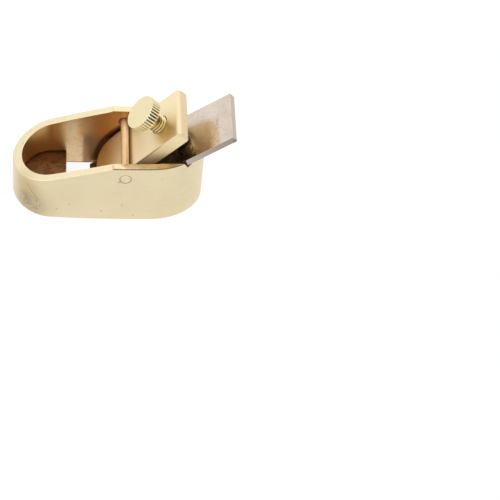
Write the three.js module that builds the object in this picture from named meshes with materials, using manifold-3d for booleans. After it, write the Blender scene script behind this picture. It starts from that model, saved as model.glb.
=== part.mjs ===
// A small brass finger plane: a boat-shaped body, a steel blade on a sloped bed, and a lever cap that
// rocks under a cross pin and is pressed on the blade by a knurled thumbscrew.
// Millimetres. +X runs from toe to heel, +Z up. The origin is on the sole, at half the body's length.
import * as THREE from "three";
import { mergeVertices } from "three/addons/utils/BufferGeometryUtils.js";
import Module from "manifold-3d";

const wasm = await Module();
wasm.setup();

// Body
const bodyLength = 48;
const sideBow = 0.9; // each side is this much nearer the middle line at toe and heel
const toeRound = 9.7; // length of the rounded toe
const heelRound = 13;
const wall = 2;
const toeWall = 2.25;
const sideSpace = 1.3; // inside the body, at each side of a centred blade
const soleThickness = 3.6;
const toeHeight = 10.9;
const rimAbovePin = 3.55; // from the pin's centre to the level rim
const shoulderLead = 3; // the rim starts to fall this far ahead of the pin
const heelWall = 2.4; // beside the blade, where the inside runs straight out through the heel
const heelFlare = 2.2; // height over the bed at which the inside of the heel has its full width

// Blade
const bladeLength = 43.8;
const bladeWidth = 15.2;
const bladeThickness = 1.75;
const bladeOffset = 0.25; // it lies a little to the far side
const edgeBehindMiddle = -4.5; // the cutting edge, from the middle of the body
const edgeHeight = 0.1; // the edge is drawn back just above the sole
const bedAngle = THREE.MathUtils.degToRad(38.3);
const bevelAngle = THREE.MathUtils.degToRad(27);
const mouthOpening = 6; // ahead of the cutting edge
const bladeSideGap = 0.5; // each side, in the mouth and in the heel's notch

// Lever cap
const capLength = 29.6;
const capNarrower = 0.1; // than the blade
const capThickness = 3.5;
const capOffset = 0.65; // it has slid to the far side, under the pin
const capRearRound = 1;
const capTilt = THREE.MathUtils.degToRad(10.1); // over the blade
const noseLength = 9;
const noseFoot = 1.2; // flat on the blade, at the nose's tip
const noseSeat = 6.6; // from the cutting edge to the foot's rear end
const noseRoundShare = 3.05; // exponent of the nose's outline: 2 is an ellipse, more is squarer

// Cross pin
const pinRadius = 1.05;
const pinHeadRadius = 1.38;
const pinHeadDepth = 0.7;
const pinReach = 10.2; // from the rear end of the nose's foot
const grooveDepth = 0.35; // the cap's groove that the pin lies in

// Thumbscrew
const headRadius = 4.5;
const headThickness = 2.75;
const headEdge = 0.12;
const knurlDepth = 0.32;
const knurlPitch = 0.78;
const threadRadius = 2.3;
const threadDepth = 0.38;
const threadPitch = 0.8;
const threadShown = 3.9; // between the cap and the head
const tipRadius = 1.2;
const tipLength = 0.6;
const screwFromRear = 6.9; // from the cap's rear end
const spigotRadius = 1.6;
const spigotLength = 1.4;

// Clearances
const seatGap = 0.25; // between pieces that bear on each other
const fitGap = 0.06; // round a fixed pin
const runningGap = 0.1; // round a turning or sliding shaft
const overrun = 2; // how far a cut passes the face it leaves by

const roundSteps = 20; // steps in a rounded end of the body
const sideSteps = 8;
const circleSteps = 32;
const threadSteps = 24; // round one turn

const brass = { metalness: 0.9, roughness: 0.38 };
const finishes = {
  body: { color: 0xd8c08c, ...brass },
  pin: { color: 0xc9a070, ...brass },
  cap: { color: 0xdcc48e, ...brass },
  screw: { color: 0xd6c07c, ...brass },
  blade: { color: 0xbcb0aa, metalness: 0.9, roughness: 0.42 },
};

// The blade's own frame starts at the cutting edge: x up the bed, z square to its top face.
const halfLength = bodyLength / 2;
const along = (angle) => new THREE.Vector2(Math.cos(angle), Math.sin(angle));
const above = (angle) => new THREE.Vector2(-Math.sin(angle), Math.cos(angle));
const edge = new THREE.Vector2(edgeBehindMiddle, edgeHeight);
const slotHalfWidth = bladeWidth / 2 + bladeSideGap;
const bodyWidth = bladeWidth + 2 * (wall + sideSpace);
const capWidth = bladeWidth - capNarrower;
const screwReach = capLength - noseFoot - pinReach - screwFromRear; // behind the pin

// The bed is a straight line in side view, a seat's gap below the blade.
const bedPoint = edge.clone().addScaledVector(above(bedAngle), -bladeThickness - seatGap);
const bedHeight = (x) => bedPoint.y + (x - bedPoint.x) * Math.tan(bedAngle);
const bedX = (height) => bedPoint.x + (height - bedPoint.y) / Math.tan(bedAngle);

// The nose's foot bears on the blade, and the pin's place follows from it.
const capAngle = bedAngle + capTilt;
const pinLift = pinRadius + seatGap - grooveDepth; // the pin's centre over the cap's top face
const pinCentre = edge
  .clone()
  .addScaledVector(along(bedAngle), noseSeat)
  .addScaledVector(above(bedAngle), seatGap)
  .addScaledVector(along(capAngle), pinReach)
  .addScaledVector(above(capAngle), pinLift + capThickness);
const sideHeight = pinCentre.y + rimAbovePin;
const shoulderX = pinCentre.x - shoulderLead;

// Height of the blade's top face under the thumbscrew, in the cap's frame, whose origin is the pin.
const bladeUnderScrew =
  -pinLift - capThickness - seatGap / Math.cos(capTilt) - (pinReach + screwReach) * Math.tan(capTilt);
const screwTip = bladeUnderScrew + seatGap + tipRadius * Math.tan(capTilt);
const headSeat = -pinLift + threadShown;

function toSolid(geometry) {
  const bare = new THREE.BufferGeometry();
  const triangles = geometry.index ? geometry.toNonIndexed() : geometry;
  bare.setAttribute("position", triangles.getAttribute("position").clone());
  const merged = mergeVertices(bare);
  return new wasm.Manifold(
    new wasm.Mesh({
      numProp: 3,
      vertProperties: merged.attributes.position.array,
      triVerts: new Uint32Array(merged.index.array),
    }),
  );
}

function toGeometry(solid) {
  const { vertProperties, triVerts } = solid.getMesh();
  const indexed = new THREE.BufferGeometry();
  indexed.setAttribute("position", new THREE.BufferAttribute(vertProperties, 3));
  indexed.setIndex(new THREE.BufferAttribute(triVerts, 1));
  const flat = indexed.toNonIndexed();
  flat.computeVertexNormals();
  return flat;
}

function toMesh(name, solid, finish) {
  const mesh = new THREE.Mesh(toGeometry(solid), new THREE.MeshStandardMaterial(finishes[finish]));
  mesh.name = name;
  return mesh;
}

// A shape in X and Y, raised along Z from one height to another.
function raised(points, low, high) {
  const shape = new THREE.Shape(points);
  const geometry = new THREE.ExtrudeGeometry(shape, { depth: high - low, bevelEnabled: false });
  geometry.translate(0, 0, low);
  return toSolid(geometry);
}

// A side view, drawn in X and Z, spread to both sides along Y.
function spread(points, halfWidth) {
  const shape = new THREE.Shape(points);
  const geometry = new THREE.ExtrudeGeometry(shape, { depth: 2 * halfWidth, bevelEnabled: false });
  geometry.translate(0, 0, -halfWidth);
  geometry.rotateX(Math.PI / 2);
  return toSolid(geometry);
}

// A profile of [radius, height] pairs turned round the Z axis.
function turned(profile) {
  const points = profile.map(([radius, height]) => new THREE.Vector2(radius, height));
  const geometry = new THREE.LatheGeometry(points, circleSteps);
  geometry.rotateX(Math.PI / 2);
  return toSolid(geometry);
}

// The body seen from above, drawn in by an inset: bowed sides between two rounded ends.
function plan(inset, toeInset) {
  const heelLength = heelRound - inset;
  const toeLength = toeRound - toeInset;
  const heelX = halfLength - heelRound;
  const toeX = toeRound - halfLength;
  const halfWidthAt = (x) => bodyWidth / 2 - inset - sideBow * (x / halfLength) ** 2;
  const points = [];
  for (let i = 0; i <= roundSteps; i++) {
    const turn = Math.PI * (i / roundSteps - 1 / 2);
    const x = heelX + heelLength * Math.cos(turn);
    points.push(new THREE.Vector2(x, halfWidthAt(x) * Math.sin(turn)));
  }
  for (let i = 1; i < sideSteps; i++) {
    const x = THREE.MathUtils.lerp(heelX, toeX, i / sideSteps);
    points.push(new THREE.Vector2(x, halfWidthAt(x)));
  }
  for (let i = 0; i <= roundSteps; i++) {
    const turn = Math.PI * (i / roundSteps + 1 / 2);
    const x = toeX + toeLength * Math.cos(turn);
    points.push(new THREE.Vector2(x, halfWidthAt(x) * Math.sin(turn)));
  }
  for (let i = 1; i < sideSteps; i++) {
    const x = THREE.MathUtils.lerp(toeX, heelX, i / sideSteps);
    points.push(new THREE.Vector2(x, -halfWidthAt(x)));
  }
  return points;
}

// The pin or its hole: a shaft with a flared, riveted head at each outer face.
function pinShape(gap) {
  const face = bodyWidth / 2 + overrun;
  const headEnd = bodyWidth / 2 - pinHeadDepth;
  const shaft = pinRadius + gap;
  const head = pinHeadRadius + gap;
  const solid = turned([
    [0, -face],
    [head, -face],
    [head, -bodyWidth / 2],
    [shaft, -headEnd],
    [shaft, headEnd],
    [head, bodyWidth / 2],
    [head, face],
    [0, face],
  ]);
  return solid.rotate([-90, 0, 0]).translate([pinCentre.x, 0, pinCentre.y]);
}

// The inside of the heel: a straight cut up the bed and out through the rear, whose sides lean out from
// the slot's edges before they stand up. Its section is drawn with X down, square to the bed.
function heelBay() {
  const halfWidth = bodyWidth / 2 - heelWall;
  const flank = (side) => {
    const foot = slotHalfWidth + side * bladeOffset;
    const lean = (halfWidth - foot) / heelFlare;
    return [
      new THREE.Vector2(-sideHeight, side * halfWidth),
      new THREE.Vector2(-heelFlare, side * halfWidth),
      new THREE.Vector2(overrun, side * (foot - lean * overrun)),
    ];
  };
  const section = [...flank(-1), ...flank(1).reverse()];
  const start = (soleThickness - bedPoint.y) / Math.sin(bedAngle);
  const end = (halfLength + overrun - bedPoint.x) / Math.cos(bedAngle);
  return raised(section, start, end)
    .rotate([0, THREE.MathUtils.radToDeg(Math.PI / 2 - bedAngle), 0])
    .translate([bedPoint.x, 0, bedPoint.y]);
}

function makeBody() {
  const top = sideHeight + overrun;
  const rear = halfLength + overrun;
  const sideView = spread(
    [
      new THREE.Vector2(-halfLength, 0),
      new THREE.Vector2(rear, 0),
      new THREE.Vector2(rear, sideHeight),
      new THREE.Vector2(shoulderX, sideHeight),
      new THREE.Vector2(-halfLength, toeHeight),
    ],
    bodyWidth,
  );
  const block = raised(plan(0, 0), 0, sideHeight).intersect(sideView);
  const ramp = spread(
    [
      new THREE.Vector2(bedX(-overrun), -overrun),
      new THREE.Vector2(rear, -overrun),
      new THREE.Vector2(rear, bedHeight(rear)),
    ],
    bodyWidth,
  );
  const hollow = raised(plan(wall, toeWall), soleThickness, top).add(heelBay()).subtract(ramp);
  const mouthFront = edgeBehindMiddle - mouthOpening;
  const slotTop = bedHeight(rear) + overrun;
  const bladeSlot = spread(
    [
      new THREE.Vector2(mouthFront, -overrun),
      new THREE.Vector2(bedX(-overrun), -overrun),
      new THREE.Vector2(rear, bedHeight(rear)),
      new THREE.Vector2(rear, slotTop),
      new THREE.Vector2(mouthFront, slotTop),
    ],
    slotHalfWidth,
  ).translate([0, bladeOffset, 0]);
  const solid = block.subtract(hollow).subtract(bladeSlot).subtract(pinShape(fitGap));
  return toMesh("body", solid, "body");
}

function makeCrossPin() {
  const flush = raised(plan(0, 0), 0, sideHeight);
  return toMesh("cross_pin", pinShape(0).intersect(flush), "pin");
}

function makeBlade() {
  const bevelLength = bladeThickness / Math.tan(bevelAngle);
  const solid = spread(
    [
      new THREE.Vector2(0, 0),
      new THREE.Vector2(bevelLength, -bladeThickness),
      new THREE.Vector2(bladeLength, -bladeThickness),
      new THREE.Vector2(bladeLength, 0),
    ],
    bladeWidth / 2,
  );
  return toMesh("blade", solid, "blade");
}

// In the cap's frame x runs up the plate from the pin, and z is square to its top face.
function makeLeverCap() {
  const tip = -pinReach - noseFoot;
  const rear = tip + capLength;
  const half = capWidth / 2;
  const topFace = -pinLift;
  const underside = topFace - capThickness;
  const outline = [new THREE.Vector2(rear, -half), new THREE.Vector2(rear, half)];
  for (let i = 0; i <= roundSteps; i++) {
    const turn = (Math.PI * i) / roundSteps;
    const reach = Math.sin(turn) ** (2 / noseRoundShare);
    const side = Math.sign(Math.cos(turn)) * Math.abs(Math.cos(turn)) ** (2 / noseRoundShare);
    outline.push(new THREE.Vector2(tip + noseLength * (1 - reach), half * side));
  }
  const fromAbove = raised(outline, underside, topFace);
  const sideView = new THREE.Shape();
  sideView.moveTo(tip - overrun, underside - overrun);
  sideView.lineTo(rear - capRearRound, underside - overrun);
  sideView.lineTo(rear - capRearRound, underside);
  sideView.absarc(rear - capRearRound, underside + capRearRound, capRearRound, -Math.PI / 2, 0);
  sideView.absarc(rear - capRearRound, topFace - capRearRound, capRearRound, 0, Math.PI / 2);
  sideView.lineTo(rear - capRearRound, topFace + overrun);
  sideView.lineTo(tip - overrun, topFace + overrun);
  const rounded = spread(sideView.getPoints(roundSteps / 4), capWidth);
  const foot = spread(
    [
      new THREE.Vector2(-pinReach, underside),
      new THREE.Vector2(tip - overrun, underside + (noseFoot + overrun) * Math.tan(capTilt)),
      new THREE.Vector2(tip - overrun, underside - overrun),
      new THREE.Vector2(-pinReach, underside - overrun),
    ],
    capWidth,
  );
  const groove = turned([
    [0, -capWidth],
    [pinRadius + seatGap, -capWidth],
    [pinRadius + seatGap, capWidth],
    [0, capWidth],
  ]).rotate([90, 0, 0]);
  const boreRadius = threadRadius + runningGap;
  const bore = turned([
    [0, underside - overrun],
    [boreRadius, underside - overrun],
    [boreRadius, topFace + overrun],
    [0, topFace + overrun],
  ]).translate([screwReach, 0, 0]);
  const solid = fromAbove.intersect(rounded).subtract(foot).subtract(groove).subtract(bore);
  return toMesh("lever_cap", solid, "cap");
}

// A threaded rod with its axis on Z. Its rows of points climb one pitch in a turn, so each crest and each
// root is one unbroken line, and row r of the first column is also row r - rowsPerTurn of the last.
function threadedRod(length) {
  const rowShares = [0, 0.12, 0.5, 0.62]; // root, root, crest, crest, as shares of the pitch
  const rowsPerTurn = rowShares.length;
  const firstCrest = rowsPerTurn / 2;
  const spareTurns = 2; // past each end, cut off later
  const rows = rowsPerTurn * (Math.ceil(length / threadPitch) + 2 * spareTurns);
  const start = -spareTurns * threadPitch;
  const positions = [];
  for (let column = 0; column < threadSteps; column++) {
    const turn = (2 * Math.PI * column) / threadSteps;
    for (let row = 0; row <= rows; row++) {
      const radius = row % rowsPerTurn < firstCrest ? threadRadius - threadDepth : threadRadius;
      const climb = Math.floor(row / rowsPerTurn) + rowShares[row % rowsPerTurn] + column / threadSteps;
      positions.push(radius * Math.cos(turn), radius * Math.sin(turn), start + threadPitch * climb);
    }
  }
  const last = threadSteps - 1;
  const at = (column, row) =>
    column > last ? row + rowsPerTurn : column * (rows + 1) + row;
  const low = positions.length / 3;
  const high = low + 1;
  const height = (index) => positions[3 * index + 2];
  positions.push(0, 0, start, 0, 0, height(at(last, rows)) + threadPitch);
  const triangles = [];
  for (let column = 0; column <= last; column++) {
    const count = column === last ? rows - rowsPerTurn : rows;
    for (let row = 0; row < count; row++) {
      const [a, b] = [at(column, row), at(column + 1, row)];
      triangles.push(a, b, b + 1, a, b + 1, a + 1);
    }
  }
  // Each end is a fan from the axis to the last row and to the step between its two ends.
  const lowLoop = [];
  const highLoop = [];
  for (let column = 0; column <= last; column++) {
    lowLoop.push(at(column, 0));
    highLoop.push(at(column, rows));
  }
  for (let row = 0; row < rowsPerTurn; row++) {
    lowLoop.push(at(0, rowsPerTurn - row));
    highLoop.push(at(last, rows - 1 - row));
  }
  lowLoop.forEach((index, i) => triangles.push(low, lowLoop[(i + 1) % lowLoop.length], index));
  highLoop.forEach((index, i) => triangles.push(high, index, highLoop[(i + 1) % highLoop.length]));
  const geometry = new THREE.BufferGeometry();
  geometry.setAttribute("position", new THREE.Float32BufferAttribute(positions, 3));
  geometry.setIndex(triangles);
  return toSolid(geometry);
}

function makeShank() {
  const length = headSeat - screwTip;
  const envelope = turned([
    [0, 0],
    [tipRadius, 0],
    [threadRadius + fitGap, tipLength],
    [threadRadius + fitGap, length - runningGap],
    [0, length - runningGap],
  ]);
  const spigot = turned([
    [0, length - runningGap - tipLength],
    [spigotRadius, length - runningGap - tipLength],
    [spigotRadius, length + spigotLength],
    [0, length + spigotLength],
  ]);
  const solid = threadedRod(length).intersect(envelope).add(spigot).translate([0, 0, screwTip]);
  return toMesh("thumbscrew_shank", solid, "screw");
}

function makeHead() {
  const knurls = Math.round((2 * Math.PI * headRadius) / knurlPitch);
  const valley = headRadius - knurlDepth;
  const knurlShares = [0, 0.45, 0.72]; // crest, crest and valley, as shares of one knurl
  const outline = [];
  for (let knurl = 0; knurl < knurls; knurl++) {
    knurlShares.forEach((share, i) => {
      const turn = (2 * Math.PI * (knurl + share)) / knurls;
      const radius = i === knurlShares.length - 1 ? valley : headRadius;
      outline.push(new THREE.Vector2(radius * Math.cos(turn), radius * Math.sin(turn)));
    });
  }
  const rounded = turned([
    [0, 0],
    [headRadius - headEdge, 0],
    [headRadius + fitGap, headEdge],
    [headRadius + fitGap, headThickness - headEdge],
    [headRadius - headEdge, headThickness],
    [0, headThickness],
  ]);
  const socketRadius = spigotRadius + runningGap;
  const socketDepth = spigotLength + runningGap;
  const socket = turned([
    [0, -overrun],
    [socketRadius, -overrun],
    [socketRadius, socketDepth],
    [0, socketDepth],
  ]);
  const solid = raised(outline, 0, headThickness).intersect(rounded).subtract(socket);
  return toMesh("thumbscrew_head", solid.translate([0, 0, headSeat]), "screw");
}

const fingerPlane = new THREE.Group();
fingerPlane.name = "finger_plane";
fingerPlane.add(makeBody(), makeCrossPin());

const bladeGroup = new THREE.Group();
bladeGroup.position.set(edge.x, bladeOffset, edge.y);
bladeGroup.rotation.y = -bedAngle;
bladeGroup.add(makeBlade());
fingerPlane.add(bladeGroup);

const capGroup = new THREE.Group();
capGroup.position.set(pinCentre.x, capOffset, pinCentre.y);
capGroup.rotation.y = -capAngle;
capGroup.add(makeLeverCap());
fingerPlane.add(capGroup);

const screwGroup = new THREE.Group();
screwGroup.position.x = screwReach;
screwGroup.add(makeShank(), makeHead());
capGroup.add(screwGroup);

export default fingerPlane;
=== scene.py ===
# %% [markdown]
# # A small brass finger plane
#
# Instrument makers hold a plane like this between finger and thumb. It has six pieces: a cast brass body
# shaped like a small boat, a pin riveted across it, a steel blade on a sloping bed, a brass lever cap that
# rocks under the pin, and a thumbscrew in two pieces, a threaded shank and a knurled head.
#
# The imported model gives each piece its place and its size. This script makes each piece again with finer
# edges and a finish of its own, in the same place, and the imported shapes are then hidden.

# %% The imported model
import math

import bmesh
import bpy
from mathutils import Matrix, Vector


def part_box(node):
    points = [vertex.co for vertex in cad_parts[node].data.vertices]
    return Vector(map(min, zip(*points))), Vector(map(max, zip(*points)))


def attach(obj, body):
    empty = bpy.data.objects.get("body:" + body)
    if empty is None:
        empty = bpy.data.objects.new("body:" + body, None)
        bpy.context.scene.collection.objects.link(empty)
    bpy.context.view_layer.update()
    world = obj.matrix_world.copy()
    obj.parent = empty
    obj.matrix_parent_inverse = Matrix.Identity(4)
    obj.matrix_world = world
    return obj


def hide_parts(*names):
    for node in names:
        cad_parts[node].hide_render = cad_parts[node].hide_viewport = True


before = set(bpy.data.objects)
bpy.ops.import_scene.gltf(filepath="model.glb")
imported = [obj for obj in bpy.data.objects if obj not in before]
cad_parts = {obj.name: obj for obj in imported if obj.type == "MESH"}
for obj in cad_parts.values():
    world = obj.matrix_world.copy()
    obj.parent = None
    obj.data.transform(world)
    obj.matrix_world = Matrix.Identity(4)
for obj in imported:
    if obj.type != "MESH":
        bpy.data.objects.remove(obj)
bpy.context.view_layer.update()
print("packed pieces:", sorted(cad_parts))

# %% [markdown]
# The lengths come first, so that a piece and its neighbour read the same number. They are in millimetres,
# and a finished mesh is brought to metres at the end. X runs from toe to heel, Y to the far side and Z up
# from the sole.

# %% Lengths
MM = 0.001
HALF_LENGTH = 24
HALF_WIDTH = 10.9
SIDE_BOW = 0.9
TOE_ROUND = 9.7
HEEL_ROUND = 13
WALL = 2
TOE_WALL = 2.25
FLOOR_TOP = 3.6
TOE_HEIGHT = 10.9
SIDE_HEIGHT = 18.519
SHOULDER_X = 0.969
MOUTH = 6
SLOT_HALF = 8.1
HEEL_INSIDE = 8.5
HEEL_FLARE = 2.2
SEAT_GAP = 0.25
BED_ANGLE = math.radians(38.3)
BLADE_EDGE = Vector((-4.5, 0.25, 0.1))
BLADE_SIZE = Vector((43.8, 15.2, 1.75))
BLADE_BEVEL = math.radians(27)
PIN = Vector((3.9689, 0, 14.9687))
PIN_RADIUS = 1.05
PIN_HEAD = 1.38
PIN_HEAD_DEPTH = 0.7
CAP_ANGLE = math.radians(48.4)
CAP_SIZE = Vector((29.6, 15.1, 3.5))
CAP_OFFSET = Vector((0, 0.65, 0))
CAP_TOP = -0.95
NOSE_FOOT = 1.2
PIN_REACH = 10.2
SCREW_REACH = 11.3
BEYOND = 2
NEAR = 0.0001
WELD = 0.01

# %% [markdown]
# The blade leans on its bed, and the cap and its screw lean further. Each is easier to shape level, with
# its own X up the slope, so one matrix for each says where such a level shape goes.

# %% Where the leaning pieces go
on_bed = Matrix.Translation(BLADE_EDGE) @ Matrix.Rotation(-BED_ANGLE, 4, "Y")
on_pin = Matrix.Translation(PIN + CAP_OFFSET) @ Matrix.Rotation(-CAP_ANGLE, 4, "Y")
on_screw = on_pin @ Matrix.Translation((SCREW_REACH, 0, 0))
along_y = Matrix.Rotation(-math.pi / 2, 4, "X")
print("the screw's axis meets the cap at", [round(value, 2) for value in on_screw.translation])

# %% [markdown]
# ## The camera
#
# The photograph was taken from above the near side with a long lens, which keeps the long edges of the
# plane almost parallel. The camera is set by how far it looks down, its turn to one side and a slight tilt
# of the frame. The plane isn't in the middle of the picture, so the camera is then swung until the aim
# point lies where it does in the photograph.

# %% Camera
LOOK_DOWN = math.radians(47.38)
LOOK_TURN = math.radians(-2.37)
FRAME_TILT = math.radians(2.88)
DISTANCE = 0.50841
FOCAL_PIXELS = 2000
PICTURE = 500
AIM = Vector((0, 0, 0.008))
AIM_PIXEL = (108.28, 165.86)

back = Vector((
    math.sin(LOOK_TURN) * math.cos(LOOK_DOWN),
    -math.cos(LOOK_TURN) * math.cos(LOOK_DOWN),
    math.sin(LOOK_DOWN),
))
right = Vector((math.cos(LOOK_TURN), math.sin(LOOK_TURN), 0))
tilted = right * math.cos(FRAME_TILT) + back.cross(right) * math.sin(FRAME_TILT)
level_view = Matrix((tilted, back.cross(tilted), back))
to_aim = Vector((AIM_PIXEL[0] - PICTURE / 2, PICTURE / 2 - AIM_PIXEL[1], -FOCAL_PIXELS))
swing = Vector((0, 0, -1)).rotation_difference(to_aim).to_matrix()
turned_view = (swing @ level_view).transposed()

lens = bpy.data.cameras.new("camera")
lens.sensor_width = 36
lens.lens = FOCAL_PIXELS / PICTURE * lens.sensor_width
lens.clip_start = 0.01
lens.clip_end = 20
camera = bpy.data.objects.new("camera", lens)
bpy.context.scene.collection.objects.link(camera)
camera.matrix_world = Matrix.Translation(AIM + back * DISTANCE) @ turned_view.to_4x4()
bpy.context.scene.camera = camera
print("lens of", lens.lens, "mm, camera at", [round(value, 3) for value in camera.location])

# %% [markdown]
# ## Helpers for shaping
#
# A few moves come back in most pieces: a profile spun round an axis, faces drawn out, a slice that takes
# off what lies beyond a plane and closes the cut, a cut made by another shape, and a small bevel on the
# sharp edges. No real edge is perfectly sharp, and the bevel is what catches the light.

# %% Helpers: directions and profiles


def upslope(angle):
    """The direction that climbs at an angle from toe to heel."""
    return Vector((math.cos(angle), 0, math.sin(angle)))


def square_to(angle):
    """The direction square to that slope, pointing up."""
    return Vector((-math.sin(angle), 0, math.cos(angle)))


def both_ways(half):
    """A profile of radius and height, after its mirror image below."""
    return [(radius, -height) for radius, height in half] + half[::-1]


def lathe(profile, steps):
    """A closed solid from a profile of radius and height, spun round the Z axis."""
    shape = bmesh.new()
    points = [shape.verts.new((radius, 0, height)) for radius, height in profile]
    lines = [shape.edges.new(pair) for pair in zip(points, points[1:])]
    bmesh.ops.spin(
        shape, geom=points + lines, cent=(0, 0, 0), axis=(0, 0, 1), angle=2 * math.pi, steps=steps,
        use_merge=True,
    )
    bmesh.ops.remove_doubles(shape, verts=shape.verts, dist=NEAR)
    bmesh.ops.recalc_face_normals(shape, faces=shape.faces)
    return shape


# %% Helpers: draw out, slice and bevel


def whole(shape):
    """Every part of a mesh."""
    return shape.verts[:] + shape.edges[:] + shape.faces[:]


def points_of(parts):
    """The points among some parts of a mesh."""
    return [part for part in parts if isinstance(part, bmesh.types.BMVert)]


def draw_out(shape, faces, move):
    """Extrudes faces by a move, and gives back the new parts."""
    drawn = bmesh.ops.extrude_face_region(shape, geom=faces)["geom"]
    bmesh.ops.translate(shape, verts=points_of(drawn), vec=move)
    return drawn


def slice_off(shape, point, normal):
    """Takes off what lies beyond a plane, on the side its normal points to, and closes the cut."""
    cut = bmesh.ops.bisect_plane(
        shape, geom=whole(shape), dist=NEAR, plane_co=point, plane_no=normal, clear_outer=True
    )["geom_cut"]
    bmesh.ops.contextual_create(shape, geom=[part for part in cut if isinstance(part, bmesh.types.BMEdge)])
    bmesh.ops.recalc_face_normals(shape, faces=shape.faces)


def bevel(shape, edges, width, segments):
    """Rounds some edges off."""
    bmesh.ops.bevel(
        shape, geom=edges, affect="EDGES", offset_type="OFFSET", offset=width, segments=segments,
        profile=0.5, material=-1, clamp_overlap=False,
    )


def soften(shape, width, segments=2, least=35, leave=None):
    """Bevels the outward edges that turn by more than a number of degrees, but for those left sharp."""
    shape.normal_update()
    sharp = [
        edge for edge in shape.edges
        if edge.is_manifold and edge.is_convex and edge.calc_face_angle() > math.radians(least)
    ]
    if leave:
        sharp = [edge for edge in sharp if not leave((edge.verts[0].co + edge.verts[1].co) / 2)]
    bevel(shape, sharp, width, segments)


# %% Helpers: from shape to object
SHARP_FROM = math.radians(35)


def to_object(shape, name, place, material):
    """Makes a shape in millimetres an object in metres that sits at the origin, its place in its mesh."""
    bmesh.ops.transform(shape, matrix=Matrix.Scale(MM, 4) @ place, verts=shape.verts)
    mesh = bpy.data.meshes.new(name)
    shape.to_mesh(mesh)
    shape.free()
    mesh.materials.append(material)
    piece = bpy.data.objects.new(name, mesh)
    bpy.context.scene.collection.objects.link(piece)
    return piece


def combine(piece, others, operation="DIFFERENCE"):
    """Cuts other shapes out of a piece, or joins them to it. New faces keep the other shape's material."""
    for other in others:
        step = piece.modifiers.new(other.name, "BOOLEAN")
        step.operation = operation
        step.solver = "EXACT"
        step.material_mode = "TRANSFER"
        step.object = other
    finished = piece.evaluated_get(bpy.context.evaluated_depsgraph_get())
    rough = piece.data
    piece.data = bpy.data.meshes.new_from_object(finished)
    piece.modifiers.clear()
    bpy.data.meshes.remove(rough)
    for other in others:
        bpy.data.objects.remove(other)


def rework(piece, change):
    """Joins the points of an object that nearly touch, and changes its mesh in millimetres."""
    shape = bmesh.new()
    shape.from_mesh(piece.data)
    bmesh.ops.scale(shape, verts=shape.verts, vec=Vector((1, 1, 1)) / MM)
    bmesh.ops.remove_doubles(shape, verts=shape.verts, dist=WELD)
    change(shape)
    bmesh.ops.scale(shape, verts=shape.verts, vec=Vector((1, 1, 1)) * MM)
    shape.to_mesh(piece.data)
    shape.free()


def settle(piece, body, node):
    """Shades a piece smooth but for its sharp edges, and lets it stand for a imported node."""
    piece.data.shade_smooth()
    piece.data.set_sharp_from_angle(angle=SHARP_FROM)
    even = piece.modifiers.new("large faces lead", "WEIGHTED_NORMAL")
    even.keep_sharp = True
    even.weight = 100
    shape = bmesh.new()
    shape.from_mesh(piece.data)
    open_edges = sum(1 for edge in shape.edges if not edge.is_manifold)
    shape.free()
    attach(piece, body)
    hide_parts(node)
    corners = [vert.co for vert in piece.data.vertices]
    low = [round(min(corner[axis] for corner in corners) / MM, 2) for axis in range(3)]
    high = [round(max(corner[axis] for corner in corners) / MM, 2) for axis in range(3)]
    packed = [[round(value / MM, 2) for value in corner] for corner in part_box(node)]
    print(piece.name, len(piece.data.polygons), "faces", open_edges, "open edges")
    print("  from", low, "to", high, "packed", packed)


# %% [markdown]
# ## Helpers for finishes
#
# Each finish is a Principled shader. What changes over the surface comes from a few node groups that all
# the metals share, with their own values: fine lines left by a brush or a grinder, blotches of tarnish,
# small specks and scratches, and wear along the edges.

# %% Helpers: nodes and sums


def add(tree, kind, inputs=None, **settings):
    """Adds a node. Each input is a value, or another node's socket that is linked to it."""
    made = tree.nodes.new(kind)
    for name, value in settings.items():
        setattr(made, name, value)
    for name, value in (inputs or {}).items():
        if isinstance(value, bpy.types.NodeSocket):
            tree.links.new(value, made.inputs[name])
        else:
            made.inputs[name].default_value = value
    return made


def combined(kind, operation, values):
    """A node for sums, in the tree that the sockets among its values belong to."""
    tree = next(value.id_data for value in values if isinstance(value, bpy.types.NodeSocket))
    return add(tree, kind, dict(enumerate(values)), operation=operation).outputs


def maths(operation, *values):
    """The result of a Math node."""
    return combined("ShaderNodeMath", operation, values)[0]


def vectors(operation, *values):
    """The outputs of a Vector Math node."""
    return combined("ShaderNodeVectorMath", operation, values)


def times(first, *others):
    """The product of several masks."""
    for other in others:
        first = maths("MULTIPLY", first, other)
    return first


def most(first, *others):
    """The strongest of several masks."""
    for other in others:
        first = maths("MAXIMUM", first, other)
    return first


def axes(vector):
    """The X, Y and Z of a vector."""
    return add(vector.id_data, "ShaderNodeSeparateXYZ", {0: vector}).outputs


def noise(place, scale, detail, rough=0.5):
    """Soft noise, about 0.5 on average."""
    inputs = {"Vector": place, "Scale": scale, "Detail": detail, "Roughness": rough}
    return add(place.id_data, "ShaderNodeTexNoise", inputs).outputs["Fac"]


def remap(value, low, high, to_low=0.0, to_high=1.0):
    """Stretches the part of a value between two limits, softly, and holds it beyond them."""
    inputs = {"Value": value, "From Min": low, "From Max": high, "To Min": to_low, "To Max": to_high}
    made = add(value.id_data, "ShaderNodeMapRange", inputs, interpolation_type="SMOOTHSTEP")
    return made.outputs["Result"]


def ramp(along, start, end, *results):
    """The same between two places on an axis, in millimetres."""
    return remap(along, start * MM, end * MM, *results)


# %% Helpers: colours


def colour(red, green, blue):
    """A colour as a picture editor names it, from 0 to 255, for a shader."""
    def linear(value):
        share = value / 255
        return share / 12.92 if share <= 0.04045 else ((share + 0.055) / 1.055) ** 2.4
    return (linear(red), linear(green), linear(blue), 1)


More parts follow.
